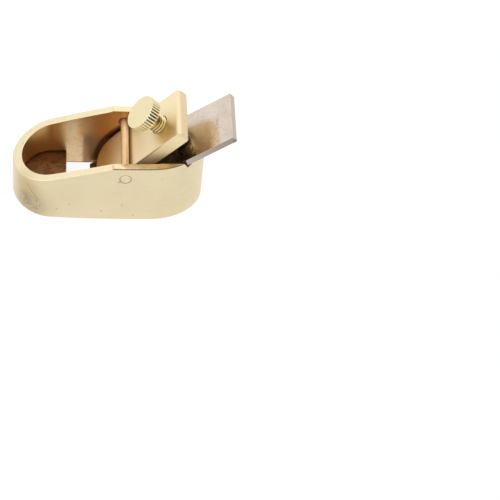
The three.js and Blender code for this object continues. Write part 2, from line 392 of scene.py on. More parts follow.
def coats(base, *layers):
    """Lays colours over a base, one after the other. Each is a mask, how much of it shows, and a colour."""
    tint = colour(*base)
    for mask, share, shade in layers:
        inputs = {0: times(mask, share), 6: tint, 7: colour(*shade)}
        tint = add(mask.id_data, "ShaderNodeMix", inputs, data_type="RGBA").outputs[2]
    return tint


def new_group(name, inputs, outputs):
    """A node group with its own inputs and outputs: the tree, what it is given and what it puts out."""
    group = bpy.data.node_groups.new(name, "ShaderNodeTree")
    for label, kind, value in inputs:
        socket = group.interface.new_socket(label, in_out="INPUT", socket_type=kind)
        if value is not None:
            socket.default_value = value
    for label in outputs:
        group.interface.new_socket(label, in_out="OUTPUT", socket_type="NodeSocketFloat")
    given = group.nodes.new("NodeGroupInput").outputs
    result = group.nodes.new("NodeGroupOutput").inputs
    return group, given, result


# %% [markdown]
# Fine lines are noise squeezed hard in one direction: long along the stroke of the brush and only a tenth
# of a millimetre across it. A second, coarser layer keeps them from looking like cloth.

# %% Group: fine lines
VECTOR = "NodeSocketVector"
FLOAT = "NodeSocketFloat"
COARSER = (0.31, 0.31, 0.31)


def make_lines_group():
    group, given, result = new_group(
        "fine lines", [("Place", VECTOR, None), ("Per metre", VECTOR, (300, 300, 6000))], ["Lines"]
    )
    fine = vectors("MULTIPLY", given["Place"], given["Per metre"])[0]
    coarse = vectors("MULTIPLY", fine, COARSER)[0]
    both = maths("ADD", times(noise(fine, 1, 2), 0.6), times(noise(coarse, 1, 1), 0.4))
    group.links.new(both, result["Lines"])
    return group


lines_group = make_lines_group()

# %% [markdown]
# Tarnish gathers in soft patches. Two sizes of noise are added up, so that each patch has a ragged,
# mottled border.

# %% Group: blotches


def make_blotches_group():
    group, given, result = new_group(
        "blotches",
        [("Place", VECTOR, None), ("Size", FLOAT, 0.008), ("Cover", FLOAT, 0.5), ("Softness", FLOAT, 0.2)],
        ["Mask", "Mottle"],
    )
    scale = maths("DIVIDE", 1, given["Size"])
    large = noise(given["Place"], scale, 3, 0.6)
    small = noise(given["Place"], times(scale, 6), 4)
    mixed = maths("ADD", times(large, 0.75), times(small, 0.25))
    level = maths("SUBTRACT", 1, given["Cover"])
    low = maths("SUBTRACT", level, given["Softness"])
    high = maths("ADD", level, given["Softness"])
    group.links.new(remap(mixed, low, high), result["Mask"])
    group.links.new(small, result["Mottle"])
    return group


blotches_group = make_blotches_group()

# %% [markdown]
# Specks are the middles of Voronoi cells, and a random number in each cell leaves most of them empty. A
# scratch is a thin contour line of stretched noise, broken up by more noise.

# %% Group: specks and scratches
EMPTY_CELLS = 0.72
BREAKS_PER_METRE = 420


def make_marks_group():
    group, given, result = new_group(
        "specks and scratches",
        [("Place", VECTOR, None), ("Spacing", FLOAT, 0.0024), ("Speck", FLOAT, 0.05),
         ("Stroke", VECTOR, (150, 150, 900)), ("Thinness", FLOAT, 0.004)],
        ["Specks", "Scratches"],
    )
    scale = maths("DIVIDE", 1, given["Spacing"])
    cells = add(group, "ShaderNodeTexVoronoi", {"Vector": given["Place"], "Scale": scale}).outputs
    chance = add(group, "ShaderNodeSeparateColor", {"Color": cells["Color"]}).outputs
    there = maths("GREATER_THAN", chance["Red"], EMPTY_CELLS)
    size = times(given["Speck"], maths("ADD", 0.6, chance["Green"]))
    near = remap(cells["Distance"], times(size, 0.6), size, 1, 0)
    group.links.new(times(near, there), result["Specks"])
    strokes = vectors("MULTIPLY", given["Place"], given["Stroke"])[0]
    offset = maths("ABSOLUTE", maths("SUBTRACT", noise(strokes, 1, 1), 0.5))
    thin = remap(offset, 0, given["Thinness"], 1, 0)
    shown = remap(noise(given["Place"], BREAKS_PER_METRE, 1), 0.56, 0.62)
    group.links.new(times(thin, shown), result["Scratches"])
    return group


marks_group = make_marks_group()

# %% [markdown]
# Edges are handled most, so they stay bright. The Bevel node gives the normal that a rounded edge would
# have, and where it differs from the real one there is an edge.

# %% Group: edge wear


def make_edge_group():
    group, given, result = new_group(
        "edge wear", [("Radius", FLOAT, 0.0003), ("Breakup", FLOAT, 0.5)], ["Edge"]
    )
    rounded = add(group, "ShaderNodeBevel", {"Radius": given["Radius"]}, samples=4).outputs[0]
    real = add(group, "ShaderNodeNewGeometry").outputs["Normal"]
    agreement = vectors("DOT_PRODUCT", rounded, real)["Value"]
    edge = remap(agreement, 0.998, 0.93)
    group.links.new(times(edge, given["Breakup"]), result["Edge"])
    return group


edge_group = make_edge_group()
print("node groups:", [group.name for group in bpy.data.node_groups])

# %% [markdown]
# A mask says where a colour lies. It can come from one of the groups, from the direction a face looks, or
# from its place: a spot round a point, a streak along a line, or a ramp along an axis.

# %% Helpers: materials and masks


def use(tree, group, inputs):
    """Places a shared node group and gives its outputs."""
    return add(tree, "ShaderNodeGroup", inputs, node_tree=group).outputs


def new_metal(name):
    """A metal with a Principled shader, and the place on the object that its patterns read."""
    material = bpy.data.materials.new(name)
    material.use_nodes = True
    tree = material.node_tree
    shader = tree.nodes["Principled BSDF"]
    shader.inputs["Metallic"].default_value = 1
    place = add(tree, "ShaderNodeTexCoord").outputs["Object"]
    return material, tree, shader, place


def turned_place(place, matrix):
    """The place in a frame of the piece's own, for patterns that follow a piece that leans."""
    to_piece = matrix.inverted()
    inputs = {"Vector": place, "Location": to_piece.to_translation() * MM, "Rotation": to_piece.to_euler()}
    return add(place.id_data, "ShaderNodeMapping", inputs, vector_type="POINT").outputs[0]


def spot(place, centre, inner, outer, stretch=(1, 1, 1)):
    """1 near a point and 0 away from it, in millimetres. A stretch of 0 leaves an axis out."""
    away = vectors("SUBTRACT", place, Vector(centre) * MM)[0]
    reach = vectors("LENGTH", vectors("MULTIPLY", away, stretch)[0])["Value"]
    return ramp(reach, inner, outer, 1, 0)


def streak(place, centre, across, half, reach):
    """1 on a thin straight line through a point. Across is the direction square to the line."""
    away = vectors("SUBTRACT", place, Vector(centre) * MM)[0]
    off = maths("ABSOLUTE", vectors("DOT_PRODUCT", away, across)["Value"])
    return times(ramp(off, half / 2, half, 1, 0), spot(place, centre, reach * 0.7, reach))


def facing(tree, axis):
    """How far the surface looks along one of the piece's own axes."""
    return axes(add(tree, "ShaderNodeTexCoord").outputs["Normal"])[axis]


def finish(tree, shader, tint, rough, relief, depth, strength):
    """Links the colour, the roughness and a fine relief, whose depth is in millimetres."""
    bumps = add(tree, "ShaderNodeBump", {"Height": relief, "Distance": depth * MM, "Strength": strength})
    tree.links.new(tint, shader.inputs["Base Color"])
    tree.links.new(rough, shader.inputs["Roughness"])
    tree.links.new(bumps.outputs[0], shader.inputs["Normal"])


# %% [markdown]
# ## Brass of the body, outside
#
# The casting is brushed along its sides, so the lines run level round the boat. The brass is pale and a
# little warm, with faint patches of tarnish, a few small pits and thin scratches. A grey marbled patch at
# the toe is a painted reflection, and a tan patch above it is painted shade. The rim tops carry painted
# shade, and the near rim a painted reflection of the cap, darkest beside it. A brown line of old polish
# lies in the ring round the riveted pin, and a thin dark brown line runs along the near top edge beside the
# cap, where a rounded normal finds the edge.

# %% Material: body, outside
TOE_REFLECTION = (-19.6, -8.5, 3)
TOE_SHADE = (-20.5, -8, 8.5)
TOE_SCRATCH = (-19.1, -8.8, 8)
SCRATCH_ACROSS = (-0.6, 0.45, -0.66)
SIDE_PITS = [(-12.8, -10.6, 3.3), (-9.8, -10.7, 5.2), (-1.7, -10.9, 3.1), (6.4, -10.8, 1.6)]
PIN_SMUDGE = (2.4, -10.9, 13.9)
RIM_SMUDGE = (4.2, -9.3, 18.5)
RIM_SHADE = (14, -9.5, 18.5)
LEAVE_OUT_Y = (1, 0, 1)


def make_body_brass():
    material, tree, shader, place = new_metal("body brass")
    lines = use(tree, lines_group, {"Place": place, "Per metre": (160, 160, 9000)})["Lines"]
    patches = use(tree, blotches_group, {"Place": place, "Size": 0.011, "Cover": 0.44, "Softness": 0.16})
    fine = use(tree, blotches_group, {"Place": place, "Size": 0.0022, "Cover": 0.5, "Softness": 0.12})
    marks = use(tree, marks_group, {"Place": place, "Spacing": 0.0042, "Speck": 0.05})
    edge = use(tree, edge_group, {"Radius": 0.00035, "Breakup": 0.7})["Edge"]
    x, y, z = axes(place)

    # The grey marbled patch at the toe is a painted reflection.
    toe_reflection = times(spot(place, TOE_REFLECTION, 1.5, 5.4), remap(fine["Mottle"], 0.3, 0.55, 0.4, 1))
    scratch = streak(place, TOE_SCRATCH, SCRATCH_ACROSS, 0.22, 2.6)
    # The rim tops take a darker tone, which is painted shade; on the near rim it is a painted reflection of
    # the cap, darkened further beside the cap.
    top = times(remap(facing(tree, "Z"), 0.9, 0.99), ramp(z, 18.3, 18.5))
    near_top = times(top, ramp(y, 0, -1))
    shade = times(near_top, spot(place, RIM_SHADE, 1, 5.5))
    rounded = add(tree, "ShaderNodeBevel", {"Radius": 0.4 * MM}, samples=8).outputs[0]
    lean = axes(add(tree, "ShaderNodeVectorTransform", {0: rounded}, vector_type="NORMAL",
                    convert_from="WORLD", convert_to="OBJECT").outputs[0])
    # A thin dark brown line along the near top edge beside the cap.
    rim_line = times(remap(lean["Z"], 0.2, 0.4), remap(lean["Y"], -0.06, -0.2),
                     ramp(x, 0.4, 1.1), ramp(z, 17.9, 18.1))
    smudge = times(spot(place, RIM_SMUDGE, 0.4, 1.5), patches["Mottle"])
    seam = spot(place, PIN, PIN_HEAD + 0.06, PIN_HEAD + 0.16, LEAVE_OUT_Y)
    pits = most(spot(place, PIN_SMUDGE, 0.1, 0.5), *[spot(place, pit, 0.08, 0.34) for pit in SIDE_PITS])

    tint = coats(
        (230, 215, 179),
        (patches["Mask"], 0.35, (216, 198, 159)),
        (remap(lines, 0.35, 0.65), 0.25, (238, 225, 192)),
        (edge, 0.4, (248, 233, 198)),
        # Painted reflection at the toe, soft and wide.
        (spot(place, TOE_REFLECTION, 3, 9), 0.6, (202, 182, 142)),
        # Painted shade on the upper toe, below the rim.
        (spot(place, TOE_SHADE, 1, 6), 0.75, (198, 174, 126)),
        # Painted reflection at the toe, marbled.
        (toe_reflection, 0.6, (180, 165, 132)),
        (times(toe_reflection, fine["Mask"]), 0.75, (150, 138, 112)),
        (scratch, 0.5, (150, 132, 98)),
        # Painted shade on the rim tops, and a painted reflection of the cap on the near rim.
        (top, 0.8, (226, 197, 150)),
        (near_top, 0.8, (228, 205, 166)),
        (times(near_top, fine["Mask"]), 0.6, (184, 156, 112)),
        (shade, 0.75, (168, 146, 104)),
        (rim_line, 0.9, (98, 72, 44)),
        (smudge, 1, (146, 96, 66)),
        (pits, 0.55, (150, 128, 92)),
        (marks["Scratches"], 0.5, (150, 122, 84)),
        (marks["Specks"], 0.7, (120, 84, 52)),
        (seam, 0.85, (92, 62, 44)),
    )
    rough = maths("ADD", remap(lines, 0.2, 0.8, 0.3, 0.4), times(patches["Mask"], 0.08))
    finish(tree, shader, tint, rough, lines, 0.014, 0.6)
    return material


body_brass = make_body_brass()

# %% [markdown]
# ## Brass of the body, inside
#
# Nobody polishes the hollow. It keeps the brown skin of the casting, and light reaches it only after it has
# bounced from wall to wall. Painted light brightens the toe's inner wall, and painted shade darkens the
# walls high up, towards the cap and at the heel. The floor is darkest at the far side. Painted shade sits
# in the corners, along the far wall's lower edge and round the pin, and on the far wall a painted shadow
# follows the round nose of the lever cap as a dark arc, with a darker painted patch of shade in front of
# it.

# %% Material: body, inside
ARC_CENTRE = (12.9, 0, 0.6)
ARC_RADIUS = 15.7


def make_hollow_brass():
    material, tree, shader, place = new_metal("hollow brass")
    patches = use(tree, blotches_group, {"Place": place, "Size": 0.006, "Cover": 0.5, "Softness": 0.18})
    lines = use(tree, lines_group, {"Place": place, "Per metre": (250, 250, 5000)})["Lines"]
    mottle = patches["Mottle"]
    x, y, z = axes(place)

    floor_level = remap(facing(tree, "Z"), 0.8, 0.95)
    far_wall = ramp(y, 5, 7)
    # Where the walls take painted shade: high up and towards the cap, by the nose and at the heel.
    high = times(ramp(z, 5, 11), ramp(x, -9, -6))
    behind = ramp(x, -6.5, -3.5)
    by_nose = times(ramp(x, -6.9, -5.8), ramp(x, -3, -5), ramp(z, 12, 8), far_wall)
    at_heel = times(ramp(x, 5, 10), ramp(y, 0, 1))
    # Painted shade in the corner and along the lower edge, a painted shadow round the pin, and the painted
    # shadow of the cap's nose on the far wall as an arc.
    corner = times(ramp(z, FLOOR_TOP + 0.75, FLOOR_TOP + 0.3), ramp(x, -10.4, -10.9))
    under_edge = ramp(z, 0.4, 0.15)
    round_pin = spot(place, PIN, 1.35, 1.9, LEAVE_OUT_Y)
    in_arc = spot(place, ARC_CENTRE, ARC_RADIUS - 1.6, ARC_RADIUS - 0.6, LEAVE_OUT_Y)
    arc = times(spot(place, ARC_CENTRE, ARC_RADIUS + 0.4, ARC_RADIUS + 1.4, LEAVE_OUT_Y),
                maths("SUBTRACT", 1, in_arc), far_wall, ramp(x, 6, 4))
    painted_shade = most(times(corner, 0.8), times(under_edge, 0.8), times(round_pin, 0.7), times(arc, 0.75))

    tint = coats(
        (226, 200, 160),
        (patches["Mask"], 0.6, (210, 178, 132)),
        (remap(mottle, 0.52, 0.75), 0.3, (158, 118, 76)),
        # Painted light on the toe's inner wall.
        (ramp(x, -9, -14), 1, (255, 214, 142)),
        # Painted shade high up, towards the cap, by the nose and at the heel.
        (most(high, behind), 0.75, (198, 146, 88)),
        (by_nose, 0.75, (118, 84, 54)),
        (at_heel, 0.8, (96, 66, 40)),
        (floor_level, 1, (164, 114, 78)),
        (times(floor_level, ramp(y, 7.5, 2)), 1, (240, 188, 136)),
        (times(floor_level, remap(mottle, 0.42, 0.65)), 0.5, (86, 54, 36)),
        (painted_shade, 1, (58, 34, 22)),
    )
    dull = most(floor_level, ramp(y, -2, -4))
    rough = maths("ADD", remap(patches["Mask"], 0, 1, 0.33, 0.38), times(dull, 0.2))
    finish(tree, shader, tint, rough, lines, 0.006, 0.5)
    return material


hollow_brass = make_hollow_brass()

# %% [markdown]
# ## The body
#
# Seen from above the body is two half ovals joined by sides that bow out a little. A circle makes it: its
# toe half and its heel half are stretched and moved apart, and the two edges between them are subdivided
# and bowed. The outline is raised, the toe is sliced down, and the hollow, the blade's slot and the pin's
# hole are cut out by other shapes, because each of them passes through a curved wall.

# %% The boat's outline
ROUND_STEPS = 192
SIDE_CUTS = 15


def half_width(x, inset):
    """Half the width of the boat at a place along it, drawn in by an inset."""
    return HALF_WIDTH - inset - SIDE_BOW * (x / HALF_LENGTH) ** 2


def boat(inset, toe_inset, low, high):
    """The outline of the body, drawn in by an inset and raised between two heights."""
    shape = bmesh.new()
    half_step = math.pi / ROUND_STEPS
    bmesh.ops.create_circle(
        shape, cap_ends=True, segments=ROUND_STEPS, radius=1, matrix=Matrix.Rotation(half_step, 4, "Z")
    )
    sides = [edge for edge in shape.edges if edge.verts[0].co.x * edge.verts[1].co.x < 0]
    bmesh.ops.subdivide_edges(shape, edges=sides, cuts=SIDE_CUTS)
    heel_x = HALF_LENGTH - HEEL_ROUND
    toe_x = TOE_ROUND - HALF_LENGTH
    side_reach = math.sin(half_step)
    for vert in shape.verts:
        x, y, _ = vert.co
        if abs(x) < side_reach * 0.99:
            x = toe_x + (heel_x - toe_x) * (x / side_reach + 1) / 2
            y = math.copysign(1, y)
        elif x > 0:
            x = heel_x + (HEEL_ROUND - inset) * x
        else:
            x = toe_x + (TOE_ROUND - toe_inset) * x
        vert.co = (x, half_width(x, inset) * y, low)
    draw_out(shape, shape.faces[:], (0, 0, high - low))
    bmesh.ops.recalc_face_normals(shape, faces=shape.faces)
    return shape


# %% The casting
OUTER_BEVEL = 0.16

block = boat(0, 0, 0, SIDE_HEIGHT)
toe_slope = math.atan2(SIDE_HEIGHT - TOE_HEIGHT, SHOULDER_X + HALF_LENGTH)
slice_off(block, Vector((SHOULDER_X, 0, SIDE_HEIGHT)), square_to(toe_slope))
soften(block, OUTER_BEVEL, segments=3)
body = to_object(block, "cast_body", Matrix.Identity(4), body_brass)
print("the toe slopes at", round(math.degrees(toe_slope), 1), "degrees")

# %% [markdown]
# The hollow is a smaller boat. The part of its floor over the mouth is drawn down through the sole, and
# its sides close in on the way until the slot is as wide as the blade.

# %% The hollow and the mouth
MOUTH_REAR = 5

mouth_front = BLADE_EDGE.x - MOUTH
hollow_shape = boat(WALL, TOE_WALL, FLOOR_TOP, SIDE_HEIGHT + BEYOND)
for line_x in (mouth_front, MOUTH_REAR):
    bmesh.ops.bisect_plane(
        hollow_shape, geom=whole(hollow_shape), dist=NEAR, plane_co=(line_x, 0, 0), plane_no=(1, 0, 0)
    )
over_mouth = [
    face for face in hollow_shape.faces
    if all(abs(vert.co.z - FLOOR_TOP) < WELD for vert in face.verts)
    and mouth_front < face.calc_center_median().x < MOUTH_REAR
]
drawn = draw_out(hollow_shape, over_mouth, (0, 0, 0))
bmesh.ops.delete(hollow_shape, geom=over_mouth, context="FACES")
depth = (FLOOR_TOP + BEYOND) / FLOOR_TOP
for vert in points_of(drawn):
    at_sole = BLADE_EDGE.y + vert.co.y / half_width(vert.co.x, WALL) * SLOT_HALF
    vert.co.y += (at_sole - vert.co.y) * depth
    vert.co.z = -BEYOND
bmesh.ops.recalc_face_normals(hollow_shape, faces=hollow_shape.faces)
hollow = to_object(hollow_shape, "hollow", Matrix.Identity(4), hollow_brass)

# %% [markdown]
# At the heel the inside runs straight out through the rounded wall, so the two sides end in thin points
# and the blade can leave between them. Near the bed the sides lean in towards the blade, which gives the
# small dark notch beside it. Both shapes reach below the bed, and one slice then makes the whole bed.

# %% The heel's cut and the bed
near_foot = BLADE_EDGE.y - SLOT_HALF
far_foot = BLADE_EDGE.y + SLOT_HALF
heel_section = [
    (near_foot, -BEYOND), (near_foot, 0), (-HEEL_INSIDE, HEEL_FLARE), (-HEEL_INSIDE, SIDE_HEIGHT),
    (HEEL_INSIDE, SIDE_HEIGHT), (HEEL_INSIDE, HEEL_FLARE), (far_foot, 0), (far_foot, -BEYOND),
]
bed_point = BLADE_EDGE - square_to(BED_ANGLE) * (BLADE_SIZE.z + SEAT_GAP)
bed_start = (FLOOR_TOP - bed_point.z) / math.sin(BED_ANGLE)
bed_end = (HALF_LENGTH + BEYOND - bed_point.x) / math.cos(BED_ANGLE)
bay_shape = bmesh.new()
for side, height in heel_section:
    on_bed_line = Vector((bed_point.x, side, bed_point.z))
    bay_shape.verts.new(on_bed_line + square_to(BED_ANGLE) * height + upslope(BED_ANGLE) * bed_start)
bay_shape.faces.new(bay_shape.verts)
draw_out(bay_shape, bay_shape.faces[:], upslope(BED_ANGLE) * (bed_end - bed_start))
bmesh.ops.recalc_face_normals(bay_shape, faces=bay_shape.faces)
bay = to_object(bay_shape, "heel cut", Matrix.Identity(4), hollow_brass)
combine(hollow, [bay], "UNION")
rework(hollow, lambda shape: slice_off(shape, bed_point, -square_to(BED_ANGLE)))
print("the bed starts", round(bed_start, 1), "mm up the slope and ends at", round(bed_end, 1))

# %% The pin's hole, and all the cuts
HOLE_GAP = 0.06
HOLE_STEPS = 48
THIN_SIDES_FROM = Vector((16.5, 6.5, 14))
INNER_BEVEL = 0.14

wide_hole = PIN_HEAD + HOLE_GAP
narrow_hole = PIN_RADIUS + HOLE_GAP
head_start = HALF_WIDTH - PIN_HEAD_DEPTH
hole_shape = lathe(
    both_ways([(0, HALF_WIDTH + BEYOND), (wide_hole, HALF_WIDTH + BEYOND), (wide_hole, HALF_WIDTH),
               (narrow_hole, head_start)]),
    HOLE_STEPS,
)
hole = to_object(hole_shape, "pin hole", Matrix.Translation(PIN) @ along_y, hollow_brass)


def left_sharp(middle):
    """True at the pin's hole, and in the last millimetres of the sides, which are too thin for a bevel."""
    at_pin = (middle - PIN).xz.length < 2 * PIN_HEAD and abs(middle.y) > HALF_WIDTH / 2
    past = Vector((middle.x, abs(middle.y), middle.z)) - THIN_SIDES_FROM
    return at_pin or min(past) > 0


combine(body, [hollow, hole])
rework(body, lambda shape: soften(shape, INNER_BEVEL, least=50, leave=left_sharp))
settle(body, "plane_body", "body")

# %% [markdown]
# ## The cross pin
#
# The pin is a soft brass rod. Its ends were hammered out into the countersunk hole and filed flush, so on
# each side only a thin dark ring shows. A lathe profile makes it: the rod, the two flared heads and a
# barely domed face.

# %% Material and piece: cross pin
TURNED_STEPS = 64


def make_pin_brass():
    material, tree, shader, place = new_metal("pin brass")
    lines = use(tree, lines_group, {"Place": place, "Per metre": (5000, 500, 5000)})["Lines"]
    patches = use(tree, blotches_group, {"Place": place, "Size": 0.003, "Cover": 0.45, "Softness": 0.2})
    tarnish = patches["Mask"]
    off_middle = maths("ABSOLUTE", axes(place)["Y"])
    rod = ramp(off_middle, 8.4, 9.2, 1, 0)
    head = spot(place, PIN, PIN_HEAD - 0.12, PIN_HEAD + 0.02, LEAVE_OUT_Y)
    # Painted shade on the side of the rod that faces the cap.
    painted_shade_to_cap = times(remap(facing(tree, "X"), 0.66, 0.92), rod)
    tint = coats(
        (240, 224, 194),
        (tarnish, 1, (228, 206, 172)),
        (maths("SUBTRACT", 1, head), 1, (120, 80, 56)),
        (rod, 1, (230, 198, 154)),
        (times(rod, tarnish), 1, (218, 182, 138)),
        (painted_shade_to_cap, 0.8, (104, 70, 44)),
    )
    finish(tree, shader, tint, remap(lines, 0.3, 0.7, 0.44, 0.54), lines, 0.01, 0.4)
    return material


pin_face = half_width(PIN.x, 0)
pin_shape = lathe(
    both_ways([(0, pin_face + 0.01), (PIN_HEAD * 0.6, pin_face), (PIN_HEAD - 0.06, pin_face - 0.02),
               (PIN_HEAD, pin_face - 0.08), (PIN_RADIUS, head_start)]),
    TURNED_STEPS,
)
pin = to_object(pin_shape, "riveted_pin", Matrix.Translation(PIN) @ along_y, make_pin_brass())
settle(pin, "plane_body", "cross_pin")

# %% [markdown]
# ## The blade
#
# The blade is a flat bar of tool steel, ground to a bevel underneath. A stretched cube, sliced at the angle
# of the bevel, gives the shape, and a narrow bevel takes off the burr. The steel is grey with a breath of
# pink, stained in faint clouds, with a few reddish scratches across its face. A dark ragged smudge of
# painted shade lies beside the end of the cap, and a tan painted reflection of the cap's underside lies
# higher up. The face is painted darker near the cutting edge as shade, and its sides and top end carry
# painted light and shade.

# %% Material and piece: blade
CAP_SHADE_START = 23
CAP_SHADE_END = 31.1
REFLECTION_START = 37
REFLECTION_END = 40.4
BLADE_BREAK = 0.09


def make_blade_steel():
    material, tree, shader, place = new_metal("blade steel")
    own = turned_place(place, on_bed)
    x, y, _ = axes(own)
    lines = use(tree, lines_group, {"Place": own, "Per metre": (300, 7000, 7000)})["Lines"]
    patches = use(tree, blotches_group, {"Place": own, "Size": 0.005, "Cover": 0.48, "Softness": 0.14})
    mottle = patches["Mottle"]
    marks = use(tree, marks_group, {"Place": own, "Spacing": 0.003, "Speck": 0.05,
                                    "Stroke": (160, 420, 300), "Thinness": 0.005})
    edge = use(tree, edge_group, {"Radius": 0.0003, "Breakup": 0.8})["Edge"]

    # Painted shade beside the end of the cap, with a ragged border.
    uneven = maths("ADD", mottle, times(patches["Mask"], 0.4))
    ragged = times(maths("SUBTRACT", uneven, 0.7), 4 * MM)
    slanted = maths("ADD", x, times(y, 0.23))
    along = maths("ADD", slanted, ragged)
    painted_cap_shade = times(ramp(along, CAP_SHADE_START, CAP_SHADE_START + 6), ramp(along, CAP_SHADE_END + 1, CAP_SHADE_END - 1),
                ramp(y, 5, -3, 0.2, 0.8))
    # A painted reflection of the cap's underside, higher up the blade.
    turned = maths("SUBTRACT", x, times(y, 0.22))
    painted_reflection = times(ramp(turned, REFLECTION_START, REFLECTION_START + 2), ramp(x, REFLECTION_END, REFLECTION_END - 1.2),
                 ramp(y, 3, 0), remap(mottle, 0.35, 0.6, 0.4, 1))
    half = BLADE_SIZE.y / 2
    flank = ramp(maths("ABSOLUTE", y), half - 0.08, half - 0.01)
    corner = spot(own, (BLADE_SIZE.x, -half, -BLADE_SIZE.z), 0.3, 1.3)

    tint = coats(
        (226, 212, 198),
        (patches["Mask"], 0.5, (202, 184, 168)),
        (remap(mottle, 0.55, 0.75), 0.3, (170, 146, 130)),
        (marks["Scratches"], 0.55, (150, 104, 84)),
        (marks["Specks"], 0.5, (110, 90, 80)),
        (edge, 0.3, (236, 228, 218)),
        # Painted shade near the cutting edge.
        (ramp(x, 8, 3), 0.75, (98, 74, 52)),
        (painted_cap_shade, 1, (72, 54, 36)),
        (painted_reflection, 0.7, (184, 160, 126)),
        # Painted light and shade on the sides and the top end.
        (flank, 1, (195, 186, 170)),
        (times(flank, ramp(x, 20, BLADE_SIZE.x)), 1, (158, 149, 137)),
        (ramp(x, BLADE_SIZE.x - 0.08, BLADE_SIZE.x - 0.01), 1, (187, 178, 165)),
        (corner, 0.7, (96, 84, 74)),
    )
    rough = maths("ADD", remap(lines, 0.3, 0.7, 0.14, 0.2), times(patches["Mask"], 0.05))
    finish(tree, shader, tint, rough, lines, 0.008, 0.4)
    return material


blade_shape = bmesh.new()
bmesh.ops.create_cube(blade_shape, size=1)
bmesh.ops.scale(blade_shape, verts=blade_shape.verts, vec=BLADE_SIZE)
bmesh.ops.translate(blade_shape, verts=blade_shape.verts, vec=(BLADE_SIZE.x / 2, 0, -BLADE_SIZE.z / 2))
slice_off(blade_shape, Vector((0, 0, 0)), Vector((-math.sin(BLADE_BEVEL), 0, -math.cos(BLADE_BEVEL))))
soften(blade_shape, BLADE_BREAK, least=60)
blade = to_object(blade_shape, "steel_blade", on_bed, make_blade_steel())
settle(blade, "blade", "blade")

# %% [markdown]
# ## The lever cap
#
# The cap is a thick plate with a blunt round nose that bears on the blade. Painted shade makes its brass
# darker and warmer towards the nose, on its underside and over its rounded end, and an amber painted
# reflection of the screw's head lies on the top beside the screw. A brown line lies at the near corner of
# its rounded end, and a thin brown line runs along its near top edge.

# %% Material: lever cap
HEAD_REFLECTION = (13.2, -3.4, CAP_TOP)

under = CAP_TOP - CAP_SIZE.z
cap_end = CAP_SIZE.x - PIN_REACH - NOSE_FOOT
near_side = -CAP_SIZE.y / 2


def make_cap_brass():
    material, tree, shader, place = new_metal("cap brass")
    own = turned_place(place, on_pin)
    lines = use(tree, lines_group, {"Place": own, "Per metre": (260, 7000, 7000)})["Lines"]
    patches = use(tree, blotches_group, {"Place": own, "Size": 0.008, "Cover": 0.42, "Softness": 0.18})
    specks = use(tree, marks_group, {"Place": own, "Spacing": 0.004, "Speck": 0.05})["Specks"]
    edge = use(tree, edge_group, {"Radius": 0.0003, "Breakup": 0.7})["Edge"]
    x, y, z = axes(own)
    sideways = facing(tree, "Y")

    # A brown line at the near corner of the rounded end, and a thin brown line along the near top edge.
    end_corner_line = times(remap(sideways, -0.1, -0.4), remap(sideways, -0.98, -0.9),
                 ramp(x, cap_end - 1.4, cap_end - 0.9), ramp(z, CAP_TOP - 1.6, CAP_TOP - 1.1))
    crease = times(ramp(y, near_side + 0.35, near_side + 0.2), ramp(z, CAP_TOP - 0.3, CAP_TOP - 0.15),
                   ramp(x, -1, 1), ramp(x, 14, 9))
    tint = coats(
        (246, 229, 188),
        (patches["Mask"], 0.3, (233, 211, 167)),
        (remap(lines, 0.35, 0.65), 0.2, (242, 227, 190)),
        (edge, 0.4, (250, 232, 194)),
        (specks, 0.6, (124, 88, 54)),
        # Painted shade on the underside.
        (ramp(z, under + 0.2, under), 0.8, (218, 194, 148)),
        # Painted shade on the rounded end.
        (ramp(x, cap_end - 1.3, cap_end - 0.02), 0.9, (229, 210, 176)),
        # A painted reflection of the screw's head beside the screw.
        (spot(own, HEAD_REFLECTION, 0.5, 5), 0.6, (240, 208, 134)),
        # Painted shade towards the nose.
        (ramp(x, -2, -9), 0.8, (208, 162, 88)),
        (end_corner_line, 0.9, (120, 92, 58)),
        (crease, 0.7, (150, 114, 66)),
    )
    dull = most(remap(maths("ABSOLUTE", sideways), 0.8, 0.95), ramp(x, cap_end - 1.3, cap_end - 1))
    rough = maths("ADD", remap(lines, 0.3, 0.7, 0.38, 0.46), times(dull, 0.16))
    finish(tree, shader, tint, rough, lines, 0.01, 0.4)
    return material


cap_brass = make_cap_brass()

# %% [markdown]
# Half a circle, squared off a little, makes the nose, and its straight edge is drawn back to make the
# plate. The rear end is rounded over by a wide bevel, and the nose is sliced parallel to the blade. The
# groove for the pin and the hole for the screw are cut last.

# %% Piece: lever cap
NOSE_LENGTH = 9
NOSE_SQUARENESS = 3.05
NOSE_STEPS = 160
REAR_ROUND = 1
REAR_STEPS = 8
GROOVE_RADIUS = PIN_RADIUS + 0.12
BORE = 2.4
COUNTERSINK = 0.2
CAP_BREAK = 0.1

cap_shape = bmesh.new()
bmesh.ops.create_circle(cap_shape, cap_ends=True, segments=NOSE_STEPS, radius=1)
bmesh.ops.bisect_plane(
    cap_shape, geom=whole(cap_shape), dist=NEAR, plane_co=(0, 0, 0), plane_no=(1, 0, 0), clear_outer=True
)
nose_tip = -PIN_REACH - NOSE_FOOT
for vert in cap_shape.verts:
    reach, side, _ = vert.co
    reach = abs(reach) ** (2 / NOSE_SQUARENESS)
    side = math.copysign(abs(side) ** (2 / NOSE_SQUARENESS), side)
    vert.co = (nose_tip + NOSE_LENGTH * (1 - reach), CAP_SIZE.y / 2 * side, under)
back_edge = [
    edge for edge in cap_shape.edges
    if all(abs(vert.co.x - nose_tip - NOSE_LENGTH) < NEAR for vert in edge.verts)
]
drawn = bmesh.ops.extrude_edge_only(cap_shape, edges=back_edge)["geom"]
bmesh.ops.translate(cap_shape, verts=points_of(drawn), vec=(CAP_SIZE.x - NOSE_LENGTH, 0, 0))
bmesh.ops.dissolve_faces(cap_shape, faces=cap_shape.faces[:])
draw_out(cap_shape, cap_shape.faces[:], (0, 0, CAP_SIZE.z))
